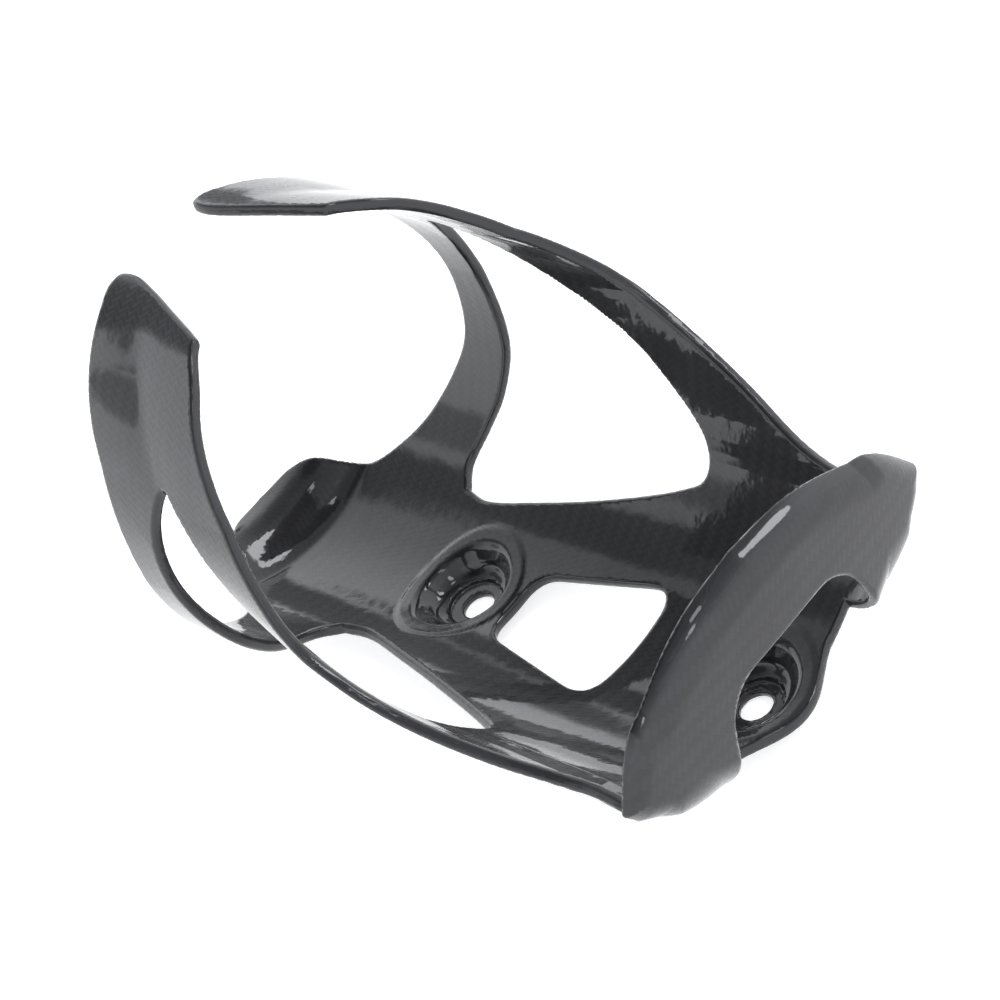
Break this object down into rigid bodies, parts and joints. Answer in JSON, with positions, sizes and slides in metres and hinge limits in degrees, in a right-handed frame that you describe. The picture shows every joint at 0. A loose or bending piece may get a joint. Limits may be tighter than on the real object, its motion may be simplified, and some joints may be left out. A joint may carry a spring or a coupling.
{
  "type": "bottle cage",
  "caption": "Moulded carbon cage that holds a round drinks bottle: back plate with a two-bolt line, foot shelf, neck tab and two springy looped arms.",
  "frame": {"origin": "middle of the two-bolt line, on the mounting face at the back of the bolt cups", "axes": "+Z away from the bicycle frame, towards the bottle; +Y along the bottle towards its neck; X across the cage"},
  "size_m": [0.081, 0.1363, 0.0802],
  "materials": {
    "carbon": "clear-coated woven carbon laminate"
  },
  "bodies": {
    "frame_side": {"back_plate": "carbon", "neck_tab": "carbon", "foot_shelf": "carbon", "upper_bolt_cup": "carbon", "lower_bolt_cup": "carbon"},
    "right_arm": {"right_upper_strand": "carbon", "right_lower_strand": "carbon", "right_arm_tip": "carbon"},
    "left_arm": {"left_upper_strand": "carbon", "left_lower_strand": "carbon", "left_arm_tip": "carbon"}
  },
  "joints": [
    {"name": "right_arm_flex", "type": "hinge", "parent": "frame_side", "child": "right_arm", "pos_m": [0.0329, 0, 0.01931], "axis": [0, 1, 0], "range_deg": [0, 4], "stiffness_Nm_per_rad": 12},
    {"name": "left_arm_flex", "type": "hinge", "parent": "frame_side", "child": "left_arm", "pos_m": [-0.0329, 0, 0.01931], "axis": [0, -1, 0], "range_deg": [0, 4], "stiffness_Nm_per_rad": 12}
  ]
}
